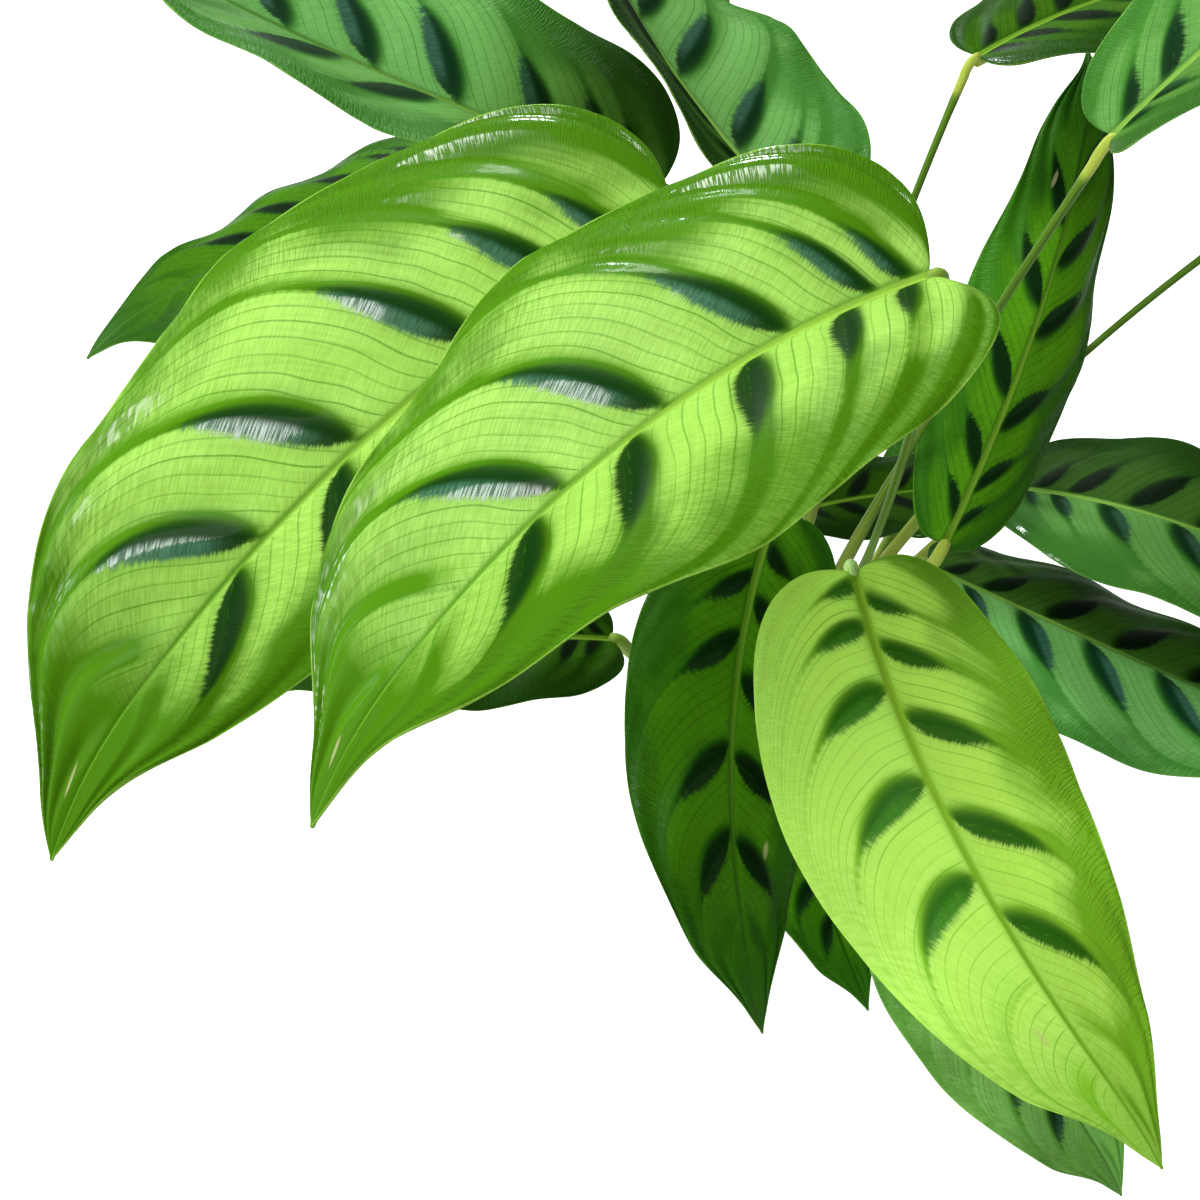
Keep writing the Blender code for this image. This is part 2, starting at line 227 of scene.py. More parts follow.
# Where each leaf stands and how it grows, as in the part's source: the root's turn and distance from
# the crown's middle, the stalk's bow, the blade's foot, heading, rise, droop, sway, roll, twist, length,
# width, how much wider the right half is, the gutter and the curl of the edges
inner, middle, outer = 0.006, 0.0135, 0.021
leafWords = "turn reach bow foot heading rise droop sway roll twist length width skew fold curl".split()
leafRows = [
    (-90, inner, (0.018, 0), (0.002, -0.086, 0.503),
     -159, -7, 16, 39, 8, -30, 0.224, 0.128, 1.07, 33, 37),
    (-143, middle, (0, 0), (-0.066, -0.045, 0.492),
     -149, -8, 17, 30, 15, -5, 0.255, 0.132, 1.20, 27, 46),
    (180, inner, (0, 0), (-0.019, -0.012, 0.465),
     136, 20, -15, -26, 0, -58, 0.193, 0.092, 1.14, 34, 12),
    (-176, middle, (0, 0), (-0.065, 0.049, 0.447),
     180, 21, 0, -19, 9, -3, 0.223, 0.104, 1.08, 35, 18),
    (-30, middle, (0, 0), (0.053, -0.024, 0.320),
     57, 42, 26, 23, -28, -1, 0.255, 0.066, 0.98, 9, 44),
    (-45, outer, (0.016, -0.005), (-0.009, -0.100, 0.400),
     -85, -9, 18, 40, -19, -10, 0.200, 0.090, 1.07, 9, 28),
    (0, inner, (-0.012, -0.006), (0.079, 0.015, 0.483),
     2, 58, 29, 4, -3, -1, 0.191, 0.080, 0.97, 31, 23),
    (52, middle, (-0.015, 0), (0.052, 0.097, 0.474),
     33, 11, 31, -2, 4, -5, 0.190, 0.075, 1.05, 21, 37),
    (15, middle, (0, 0.03), (0.163, 0.056, 0.426),
     40, 25, 40, 0, 0, 0, 0.190, 0.074, 1.0, 20, 30),
    (5, outer, (-0.010, 0.015), (0.105, 0.044, 0.292),
     -33, 21, 42, -5, -2, 2, 0.196, 0.105, 1.03, 22, 33),
    (-18, outer, (0, 0), (0.060, 0.013, 0.273),
     -31, -4, 10, 12, 11, -16, 0.220, 0.110, 1.05, 9, 36),
    (-70, outer, (0.030, 0), (0.038, -0.122, 0.238),
     -64, -9, 25, 15, -7, 2, 0.154, 0.083, 1.06, 17, 34),
    (-98, outer, (0, 0), (0.003, -0.051, 0.219),
     -96, -3, 24, 35, 8, 3, 0.125, 0.065, 1.03, 18, 34),
    (-125, outer, (0, 0), (-0.023, -0.037, 0.362),
     -113, -30, 10, 44, 10, 7, 0.204, 0.086, 1.01, 8, 36),
    (-172, outer, (0, 0), (-0.083, -0.016, 0.249),
     -166, 23, 33, 3, 3, -7, 0.163, 0.074, 0.98, 18, 33),
    (151, middle, (0, 0), (-0.164, 0.130, 0.423),
     -134, -2, 17, -19, -2, 10, 0.177, 0.088, 0.94, 5, 42),
    (104, outer, (0, 0), (-0.008, 0.121, 0.352),
     78, 24, 30, 0, 0, 0, 0.165, 0.070, 1.0, 20, 30),
    (80, outer, (0, 0), (0.000, 0.075, 0.240),
     10, 10, 25, 0, 0, 0, 0.150, 0.062, 1.0, 20, 30),
    (125, middle, (0, 0), (-0.140, 0.165, 0.520),
     150, 18, 30, 0, 0, 0, 0.200, 0.080, 1.0, 20, 30),
    (90, middle, (0, 0), (-0.045, 0.170, 0.515),
     95, 20, 40, 0, 0, 0, 0.210, 0.084, 1.0, 20, 30),
    (130, outer, (0, 0), (-0.050, 0.090, 0.300),
     120, 15, 35, 0, 0, 0, 0.180, 0.074, 1.0, 20, 30),
    (56, outer, (0, 0), (0.075, 0.100, 0.200),
     50, 15, 35, 0, 0, 0, 0.165, 0.070, 1.0, 20, 30),
    (30, outer, (0, 0), (0.080, 0.025, 0.175),
     8, 12, 30, 0, 0, 0, 0.165, 0.066, 1.0, 20, 30),
]
leaves = [SimpleNamespace(number=n, **dict(zip(leafWords, row))) for n, row in enumerate(leafRows, 1)]

stalkForm = {
    "soilTop": 0.106, "rootDepth": 0.012, "collar": 0.006, "knee": 0.0055,
    "radius": 0.00165, "sheathRadius": 0.0023, "sheathLength": 0.11,
    "jointRadius": 0.0020, "jointLength": 0.017,
    "clasp": 0.0015, "claspStart": (0.02, 0.03), "claspEnd": (0.19, 0.08),    # from where, over how long
    "ribRadius": 0.0018, "ribLeast": 0.0002, "ribBelow": 0.00045,
    "sides": 14, "rings": 46, "kneeRings": 7, "ribRings": 40,
}
bladeForm = {
    "thickness": 0.0007, "baseFullness": 0.50, "tipTaper": 0.95, "lobeReach": 0.55, "lobeSpan": 0.30,
    "tipCurl": 18, "tipCurlFrom": 0.80, "tipHalf": 0.0004,
    "narrow": 0.34, "narrowFrom": 0.80, "narrowOver": 0.14,
    "waves": 3.2, "waveHeight": 0.0025, "waveShift": 1.9,
    "unfold": 0.4, "curlLeast": 0.35, "curlEarly": 0.12,
    "gutter": 0.0007, "gutterLeast": 0.0004, "gutterHalf": 0.0013,
}
# The side veins leave the midrib at a low angle, cross the blade and bend forward at the edge
veinForm = {"leave": 0.018, "leaveOver": 0.07, "bend": 0.115, "tipBend": 0.06, "edge": 1.06}


def smoothStep(x):
    x = np.clip(x, 0.0, 1.0)
    return x * x * (3 - 2 * x)


def unit(v):
    return v / np.linalg.norm(v, axis=-1, keepdims=True)


def turnAt(leaf, s):
    start = bladeForm["tipCurlFrom"]
    curl = bladeForm["tipCurl"] * smoothStep((s - start) / (1 - start))
    return leaf.heading + leaf.sway * s, leaf.rise - leaf.droop * s - curl


def midrib(leaf, s):
    # points of the midrib, and its frames: along, right and up through the blade
    steps = 800
    mid = (np.arange(steps) + 0.5) / steps
    way = direction(np.float64(leaf.heading), np.float64(leaf.rise))
    moves = np.cumsum(direction(*turnAt(leaf, mid)) * leaf.length / steps, axis=0)
    path = np.array(leaf.foot) + way * stalkForm["knee"] + np.vstack([np.zeros(3), moves])
    point = np.stack([np.interp(s, np.linspace(0, 1, steps + 1), path[:, k]) for k in range(3)], axis=-1)
    heading, pitch = turnAt(leaf, s)
    along = direction(heading, pitch)
    level = direction(heading - 90, 0 * heading)
    above = np.cross(level, along)
    roll = np.radians(leaf.roll + leaf.twist * s)[:, None]
    right = level * np.cos(roll) + above * np.sin(roll)
    return point, along, right, above * np.cos(roll) - level * np.sin(roll)


def halfWidth(leaf, s, side):
    f = bladeForm
    full, taper = f["baseFullness"], f["tipTaper"]
    peak = full / (full + taper)
    share = s**full * (1 - s) ** taper / (peak**full * (1 - peak) ** taper)
    # drawn out to a narrow tip
    share = share * (1 - f["narrow"] * smoothStep((s - f["narrowFrom"]) / f["narrowOver"]))
    skew = np.where(side > 0, leaf.skew, 2 - leaf.skew)
    least = np.where(s < 0.2, stalkForm["jointRadius"], f["tipHalf"])
    return np.maximum(leaf.width / 2 * share * skew, least)


def bladeSheet(leaf, s, u):
    # the blade's middle surface, its normals and its half width, over all stations s and columns u
    point, along, right, normal = (a[:, None, :] for a in midrib(leaf, s))
    s, u = s[:, None], u[None, :]
    side, a = np.where(u >= 0, 1, -1), np.abs(u)
    width = halfWidth(leaf, s, side)
    f = bladeForm
    fold = np.radians(leaf.fold) * (1 - f["unfold"] * s)
    arch = np.sin(np.pi * np.minimum(s + f["curlEarly"], 1))
    curl = np.radians(leaf.curl) * (f["curlLeast"] + (1 - f["curlLeast"]) * arch)
    out = width * (np.sin(fold) - np.sin(fold - curl * a)) / curl
    up = width * (np.cos(fold - curl * a) - np.cos(fold)) / curl
    wave = np.sin(2 * np.pi * f["waves"] * s + np.where(side > 0, 0.0, f["waveShift"]))
    up = up + f["waveHeight"] * a * a * wave * np.minimum(1, 6 * s) * np.minimum(1, 4 * (1 - s))
    back = f["lobeReach"] * out * np.maximum(0, 1 - s / f["lobeSpan"]) ** 2
    sheet = point + right * (side * out)[..., None] + normal * up[..., None] - along * back[..., None]
    across = np.gradient(sheet, axis=1)
    facing = unit(np.cross(across, np.gradient(sheet, axis=0)))
    facing = facing * np.sign(np.sum(facing * normal, axis=-1, keepdims=True))
    return sheet, facing, width


def veinStart(s, a, square=0.0):
    # where on the midrib the side vein through (s, |u|) starts; square veins leave it at a right angle
    bend = veinForm["bend"] + veinForm["tipBend"] * s**3
    turn = np.log(1 - a / veinForm["edge"]) * (1 - square * (1 - a))
    return s - veinForm["leave"] * (1 - square) * (1 - np.exp(-a / veinForm["leaveOver"])) + bend * turn


def veinRun(s, a, width, length, square):
    # how far along the side veins each point lies, so that a line of one value crosses them squarely
    fine = np.linspace(0, 1, 400)
    slope = np.maximum(-np.gradient(veinStart(0.5, fine, square), fine), 0.10)
    climb = np.cumsum(1 / slope) / len(fine)
    return s * length + width**2 / length * np.interp(a, fine, climb)


# Where the main side veins of each half leave the midrib, in shares of the blade's length. Leaves that
# aren't listed take the usual places, each shifted a little.
ribSets = {
    1: {"left": (0.02, 0.11, 0.245, 0.42, 0.575, 0.72, 0.85),
        "right": (0.015, 0.07, 0.19, 0.37, 0.525, 0.68, 0.83)},
    2: {"left": (0.03, 0.13, 0.28, 0.48, 0.64, 0.78),
        "right": (0.05, 0.14, 0.27, 0.45, 0.60, 0.75, 0.87)},
    6: {"left": (0.04, 0.13, 0.255, 0.42, 0.58, 0.73, 0.86),
        "right": (0.03, 0.105, 0.215, 0.37, 0.525, 0.68, 0.83)},
    14: {"left": (0.05, 0.16, 0.31, 0.46, 0.62, 0.77),
         "right": (0.03, 0.11, 0.23, 0.44, 0.60, 0.74)},
    "usual": {"left": (0.03, 0.12, 0.25, 0.41, 0.57, 0.71, 0.84),
              "right": (0.015, 0.08, 0.20, 0.36, 0.51, 0.66, 0.80), "shift": 0.012},
}
# A mark lies on each main vein up to "last". It starts at "from" across the half and ends at its reach.
# "rise" and "fall" round its two ends.
markForm = {
    "from": 0.035, "reach": (0.44, 0.48, 0.55, 0.60, 0.62, 0.54, 0.45), "half": 0.030, "last": 0.665,
    "rise": 0.62, "fall": 0.95, "peak": 0.389,
}
pleatForm = {"depth": 0.058, "lean": 1.9, "before": (-0.42, -0.26, -0.12), "beyond": 1.06}


def ribsOf(leaf):
    dice = random.Random(leaf.number)
    if leaf.number in ribSets:
        return ribSets[leaf.number]
    usual = ribSets["usual"]
    return {side: tuple(t + dice.uniform(-usual["shift"], usual["shift"]) for t in usual[side])
            for side in ("left", "right")}


def pleatDepth(t, ribs):
    # 0 on each main vein; the blade sinks slowly beyond it and climbs steeply to the next
    places = np.array((*pleatForm["before"], *ribs, pleatForm["beyond"]))
    k = np.clip(np.searchsorted(places, t) - 1, 0, len(places) - 2)
    gap = places[k + 1] - places[k]
    phase = np.clip((t - places[k]) / gap, 0, 1)
    return gap * (0.5 - 0.5 * np.cos(2 * np.pi * phase ** pleatForm["lean"])), 1 - np.abs(2 * phase - 1)


def markPlaces(t, a, ribs, breadth, length):
    # how far inside a mark each point is, and how far beyond its nearest vein, in shares of the length
    inside = np.full(t.shape, -1.0)
    beyond = np.full(t.shape, -1.0)
    for k, place in enumerate(ribs):
        beyond = np.where(np.abs(t - place) < np.abs(beyond), t - place, beyond)
        if place > markForm["last"]:
            continue
        reach = markForm["reach"][k] * length
        q = (a - markForm["from"]) / (reach - markForm["from"])
        inner = np.clip(q, 0, 1)
        lens = inner ** markForm["rise"] * (1 - inner) ** markForm["fall"] / markForm["peak"]
        depth = breadth * markForm["half"] * (0.6 + 0.4 * min(1, place * 5)) * lens - np.abs(t - place)
        depth = depth - 0.05 * np.maximum(0, q - 0.96) - 0.08 * np.maximum(0, -q)
        inside = np.maximum(inside, depth)
    return inside, beyond


# How broad and how long the marks of some leaves are, and how squarely the veins of a right half leave
markSizes = {6: (0.84, 0.98), 5: (0.9, 1.0), 14: (1.0, 0.9), 1: (0.86, 1.0), 2: (0.86, 1.0)}
squareRight = {6: 0.95}

# Painted light and shade: how much paler or darker the left half, the right half and the foot of a leaf are
# drawn, where they differ
halfLightAndShade = {
    1: (0.80, 1.0, 1.0), 2: (0.86, 1.0, 1.0), 3: (0.3, 1.25, 1.0), 4: (1.12, 1.5, 0.2),
    5: (1.5, 1.0, 1.0), 6: (0.88, 1.18, 1.1), 7: (1.1, 0.7, 1.0), 8: (0.5, 0.5, 1.0),
    10: (0.38, 1.15, 1.0), 11: (0.42, 1.7, 1.0), 12: (1.35, 1.2, 1.0), 13: (1.6, 1.6, 1.0),
    14: (1.05, 1.05, 1.0), 15: (0.4, 0.4, 1.0), 16: (0.8, 0.8, 1.0), 18: (0.35, 0.35, 1.0),
}

# How fine each leaf's mesh is (stations, columns in each half), which skin it wears, and its pleats
leafLooks = {
    1: (260, 32, "bright", {"left": 0.55, "right": 1.0}),
    2: (260, 32, "bright", {"left": 0.55, "right": 1.0}),
    6: (240, 30, "sunlit", {"left": 0.6, "right": 0.45}),
    3: (150, 20, "paintedSheen", {"left": 0.6, "right": 0.8}),
    4: (140, 20, "paintedSheen", {"left": 0.6, "right": 0.6}),
    5: (160, 20, "deep", {"left": 0.6, "right": 0.6}),
    7: (150, 20, "paintedSheen", {"left": 0.8, "right": 0.6}),
    10: (140, 20, "paintedSheen", {"left": 0.6, "right": 0.6}),
    11: (150, 20, "paintedSheen", {"left": 0.6, "right": 0.8}),
    12: (140, 20, "pale", {"left": 0.6, "right": 0.6}),
    14: (150, 22, "deep", {"left": 0.7, "right": 0.7}),
    "other": (110, 16, "deep", {"left": 0.6, "right": 0.6}),
}


def stalkPath(leaf):
    # from the root up to the blade's foot, as in the part's source
    turn = math.radians(leaf.turn)
    root = Vector((leaf.reach * math.cos(turn), leaf.reach * math.sin(turn),
                   stalkForm["soilTop"] - stalkForm["rootDepth"]))
    collar = root + Vector((0, 0, stalkForm["rootDepth"] + stalkForm["collar"]))
    foot = Vector(leaf.foot)
    rise = foot.z - collar.z
    lean = (foot - collar).normalized()
    top = foot - (lean + Vector((0, 0, 0.25))).normalized() * stalkForm["knee"]
    bow = Vector((*leaf.bow, 0))
    a = collar + Vector((0, 0, rise * 0.30)) + bow
    b = top - (lean + (foot - a).normalized()).normalized() * (rise * 0.33) + bow
    path = [root, root + Vector((0, 0, stalkForm["rootDepth"] + stalkForm["collar"] / 2))]
    for k in range(stalkForm["rings"] + 1):
        t = k / stalkForm["rings"]
        q = 1 - t
        path.append(collar * q**3 + a * 3 * t * q**2 + b * 3 * t * t * q + top * t**3)
    start = foot + Vector(direction(leaf.heading, leaf.rise)) * stalkForm["knee"]
    for k in range(1, stalkForm["kneeRings"] + 1):
        t = k / (stalkForm["kneeRings"] + 1)
        path.append(top * (1 - t) ** 2 + foot * 2 * t * (1 - t) + start * t * t)
    return np.array(path)


class LeafMesh:
    # gathers points, faces and what each point carries
    def __init__(self):
        self.points, self.faces, self.slots, self.flat = [], [], [], []
        self.carried = {"place": [], "marking": [], "course": [], "relief": []}
        self.count = 0

    def add(self, points, **carried):
        start = self.count
        self.points.append(points)
        for key, rows in self.carried.items():
            rows.append(carried.get(key, np.zeros((len(points), 3))))
        self.count += len(points)
        return start

    def quads(self, faces, slot, flat=False):
        self.faces.append(faces)
        self.slots.append(np.full(len(faces), slot))
        self.flat.append(np.full(len(faces), flat))

    def build(self, name, skins):
        mesh = bpy.data.meshes.new(name)
        faces = np.concatenate(self.faces)
        mesh.from_pydata(np.concatenate(self.points).tolist(), [], faces.tolist())
        mesh.polygons.foreach_set("material_index", np.concatenate(self.slots).astype(np.int32))
        mesh.polygons.foreach_set("use_smooth", ~np.concatenate(self.flat))
        for key, rows in self.carried.items():
            layer = mesh.attributes.new(key, "FLOAT_VECTOR", "POINT")
            layer.data.foreach_set("vector", np.concatenate(rows).astype(np.float32).ravel())
        for skin in skins:
            mesh.materials.append(skin)
        mesh.update()
        piece = bpy.data.objects.new(name, mesh)
        scene.collection.objects.link(piece)
        return piece


def gridFaces(start, rows, columns, flip=False):
    k = start + np.arange(rows - 1)[:, None] * columns + np.arange(columns - 1)[None, :]
    quads = np.stack([k, k + 1, k + columns + 1, k + columns], axis=-1).reshape(-1, 4)
    return quads[:, ::-1] if flip else quads


def addBlade(mesh, leaf, stations, half, pleats):
    x = np.linspace(0, 1, stations)
    s = x**1.4
    x = np.linspace(0, 1, half + 1)
    a = x**1.6 * (1 - x) + (1 - (1 - x) ** 1.5) * x
    u = np.concatenate([-a[:0:-1], a])
    sheet, facing, width = bladeSheet(leaf, s, u)
    ss, uu = np.meshgrid(s, u, indexing="ij")
    aa = np.abs(uu)
    square = squareRight.get(leaf.number, 0.0)
    t = veinStart(ss, aa, np.where(uu > 0, square, 0.0))
    run = np.where(uu > 0, veinRun(ss, aa, width, leaf.length, square),
                   veinRun(ss, aa, width, leaf.length, 0.0))
    ribs = ribsOf(leaf)
    left = uu < 0
    strength = np.where(left, pleats["left"], pleats["right"])
    (sinkL, midwayL), (sinkR, midwayR) = pleatDepth(t, ribs["left"]), pleatDepth(t, ribs["right"])
    sink, midway = np.where(left, sinkL, sinkR) * strength, np.where(left, midwayL, midwayR)
    fade = smoothStep((aa - 0.01) / 0.28) * (1 - 0.45 * smoothStep((aa - 0.7) / 0.3))
    fade = fade * smoothStep(ss / 0.05) * smoothStep((1 - ss) / 0.12)
    sink = sink * leaf.length * pleatForm["depth"] * fade
    across = aa * width
    gutterHalf = bladeForm["gutterLeast"] + bladeForm["gutterHalf"] * (1 - ss) ** 0.7
    gutter = bladeForm["gutter"] * (1 - ss) ** 0.5 * np.exp(-((across / gutterHalf) ** 2))
    thick = bladeForm["thickness"] * (1 - 0.5 * smoothStep((aa - 0.93) / 0.07))
    top = sheet + facing * (thick / 2 - sink - gutter)[..., None]
    under = sheet - facing * (thick / 2 + sink + gutter * 0.3)[..., None]
    breadth, reach = markSizes.get(leaf.number, (1.0, 1.0))
    lightShadeLeft, lightShadeRight, lightShadeFoot = halfLightAndShade.get(leaf.number, (1.0, 1.0, 1.0))
    paintedLightAndShade = lightShadeLeft + (lightShadeRight - lightShadeLeft) * smoothStep((uu + 0.02) / 0.04)
    paintedLightAndShade = paintedLightAndShade * (lightShadeFoot + (1 - lightShadeFoot) * smoothStep((ss - 0.12) / 0.3))
    inL, beyondL = markPlaces(t, aa, ribs["left"], breadth, reach)
    inR, beyondR = markPlaces(t, aa, ribs["right"], breadth, reach)
    inside = np.where(left, inL, inR) * leaf.length
    beyond = np.where(left, beyondL, beyondR) * leaf.length
    carried = {
        "place": np.stack([ss, uu, t], axis=-1).reshape(-1, 3),
        "marking": np.stack([inside, beyond, np.abs(beyond)], axis=-1).reshape(-1, 3) * 1000,
        "course": np.stack([run, across, (1 - aa) * width], axis=-1).reshape(-1, 3) * 1000,
        # the middle part of the relief carries the painted light and shade of each half
        "relief": np.stack([strength * fade, paintedLightAndShade, midway], axis=-1).reshape(-1, 3),
    }
    rows, columns = ss.shape
    first = mesh.add(top.reshape(-1, 3), **carried)
    second = mesh.add(under.reshape(-1, 3), **carried)
    mesh.quads(gridFaces(first, rows, columns, flip=True), 0)
    mesh.quads(gridFaces(second, rows, columns), 1)
    # the rim, all the way round
    edge = [(0, c) for c in range(columns)] + [(r, columns - 1) for r in range(1, rows)]
    edge += [(rows - 1, c) for c in range(columns - 2, -1, -1)] + [(r, 0) for r in range(rows - 2, 0, -1)]
    ring = np.array([r * columns + c for r, c in edge])
    after = np.roll(ring, -1)
    rim = np.stack([first + ring, first + after, second + after, second + ring], axis=-1)
    mesh.quads(rim, 0, flat=True)


def addStalk(mesh, leaf):
    # the stalk, its swollen joint and the rib that goes on under the blade, as one tube
    f = stalkForm
    path = stalkPath(leaf)
    share = np.linspace(0, 1, f["ribRings"]) ** 1.2
    point, _, right, normal = midrib(leaf, share)
    ribRadius = f["ribRadius"] * (1 - share) ** 0.8 + f["ribLeast"]
    path = np.vstack([path, point - normal * (ribRadius + f["ribBelow"])[:, None]])
    steps = np.linalg.norm(np.diff(path, axis=0), axis=1)
    up = np.concatenate([[0], np.cumsum(steps)])
    kneeEnd = up[-len(share)]
    toJoint = kneeEnd - up
    radius = f["radius"] + (f["sheathRadius"] - f["radius"]) * (1 - smoothStep(up / f["sheathLength"]))
    radius = radius + (f["jointRadius"] - f["radius"]) * smoothStep(1.6 - toJoint / f["jointLength"])
    (start, startOver), (end, endOver) = f["claspStart"], f["claspEnd"]
    clasp = smoothStep((up - start) / startOver) * (1 - smoothStep((up - end) / endOver))
    radius = radius + f["clasp"] * clasp
    radius[-len(share):] = np.minimum(radius[-len(share):], ribRadius)
    way = unit(np.gradient(path, axis=0))
    side = right[0] - way * np.sum(way * right[0], axis=1, keepdims=True)
    side = unit(side)
    above = np.cross(side, way)
    sides = f["sides"]
    angle = 2 * np.pi * np.arange(sides) / sides
    cos, sin = np.cos(angle), np.sin(angle)
    spoke = side[:, None, :] * cos[None, :, None] + above[:, None, :] * sin[None, :, None]
    tube = path[:, None, :] + spoke * radius[:, None, None]
    rows = len(path)
    grain = np.stack([np.broadcast_to(x, (rows, sides)) for x in (cos, sin, up[:, None] * 25)], axis=-1)
    zones = np.stack([np.broadcast_to(x[:, None] * 1000, (rows, sides))
                      for x in (up, toJoint, 0 * up)], axis=-1)
    first = mesh.add(tube.reshape(-1, 3), place=grain.reshape(-1, 3), course=zones.reshape(-1, 3))
    k = first + np.arange(rows - 1)[:, None] * sides + np.arange(sides)[None, :]
    n = first + np.arange(rows - 1)[:, None] * sides + (np.arange(sides)[None, :] + 1) % sides
    mesh.quads(np.stack([k, k + sides, n + sides, n], axis=-1).reshape(-1, 4), 2)
    half = sides // 2
    for row, turned in ((0, False), (rows - 1, True)):
        low = first + row * sides
        cap = np.array([[low + j, low + j + 1, low + (sides - 2 - j), low + (sides - 1 - j)]
                        for j in range(half - 1)])
        mesh.quads(cap[:, ::-1] if turned else cap, 2)


# Blade colours in linear light: "light" between the veins, "deep" in the band towards the edges, the marks
# and the sheen on them, the vein lines, the midrib at its foot, the underside, and what comes "through".
# "band" is where the band starts across a half, and bandLeft, bandRight, tipMost and bandMost say how strong
# it is. "glow" is the share of light that passes, and a small pale scar lies at "scar": twice the share of
# the length, then the share of the half.
bladeLooks = {
    "bright": {
        "light": (0.43, 0.73, 0.150), "deep": (0.052, 0.162, 0.003), "mark": (0.004, 0.030, 0.003),
        "markSheen": (0.040, 0.13, 0.075), "vein": (0.048, 0.195, 0.006),
        "midrib": (0.35, 0.58, 0.075), "under": (0.22, 0.38, 0.12),
        "bandLeft": 0.85, "bandRight": 1.0, "tipMost": 1.0,
        "through": (0.62, 0.90, 0.16), "band": 0.54, "bandMost": 1.0,
        "glow": 0.34, "shine": 0.02, "gloss": 0.34, "wax": 1.0, "scar": (1.83, 0.24, 0.0),
    },
    "sunlit": {
        "light": (0.52, 0.80, 0.19), "deep": (0.10, 0.27, 0.004), "mark": (0.012, 0.075, 0.002),
        "markSheen": (0.03, 0.14, 0.008), "vein": (0.085, 0.25, 0.008),
        "midrib": (0.24, 0.42, 0.022), "under": (0.30, 0.48, 0.16),
        "bandLeft": 1.0, "bandRight": 0.15, "tipMost": 0.3,
        "through": (0.74, 0.95, 0.30), "band": 0.54, "bandMost": 0.95,
        "glow": 0.72, "shine": 0.05, "gloss": 0.40, "wax": 0.15, "scar": (1.50, 0.30, 0.0),
    },
    "deep": {
        "light": (0.068, 0.22, 0.004), "deep": (0.017, 0.088, 0.003), "mark": (0.002, 0.014, 0.002),
        "markSheen": (0.006, 0.025, 0.008), "vein": (0.014, 0.08, 0.003),
        "midrib": (0.14, 0.28, 0.020), "under": (0.07, 0.14, 0.045),
        "bandLeft": 1.0, "bandRight": 1.0, "tipMost": 0.7,
        "through": (0.40, 0.75, 0.06), "band": 0.5, "bandMost": 0.85,
        "glow": 0.0, "shine": 0.05, "gloss": 0.42, "wax": 0.2, "scar": (1.30, -0.42, 0.0),
    },
    # painted sheen: a greyer green stands in for the sheen these leaves catch
    "paintedSheen": {
        "light": (0.118, 0.29, 0.064), "deep": (0.026, 0.12, 0.010), "mark": (0.002, 0.018, 0.004),
        "markSheen": (0.02, 0.065, 0.035), "vein": (0.028, 0.12, 0.016),
        "midrib": (0.20, 0.38, 0.06), "under": (0.10, 0.19, 0.07),
        "bandLeft": 1.0, "bandRight": 1.0, "tipMost": 0.5,
        "through": (0.40, 0.75, 0.10), "band": 0.56, "bandMost": 0.9,
        "glow": 0.18, "shine": 0.04, "gloss": 0.45, "wax": 0.5, "scar": (1.42, 0.36, 0.0),
    },
    "pale": {
        "light": (0.26, 0.52, 0.13), "deep": (0.07, 0.23, 0.02), "mark": (0.003, 0.022, 0.004),
        "markSheen": (0.02, 0.07, 0.04), "vein": (0.06, 0.20, 0.02),
        "midrib": (0.26, 0.46, 0.08), "under": (0.14, 0.25, 0.09),
        "bandLeft": 1.0, "bandRight": 1.0, "tipMost": 0.5,
        "through": (0.42, 0.76, 0.16), "band": 0.6, "bandMost": 0.8,
        "glow": 0.22, "shine": 0.05, "gloss": 0.42, "wax": 0.5, "scar": (1.36, -0.30, 0.0),
    },
}
veinLines = {"count": 45, "soft": 0.085, "fine": 0.030}


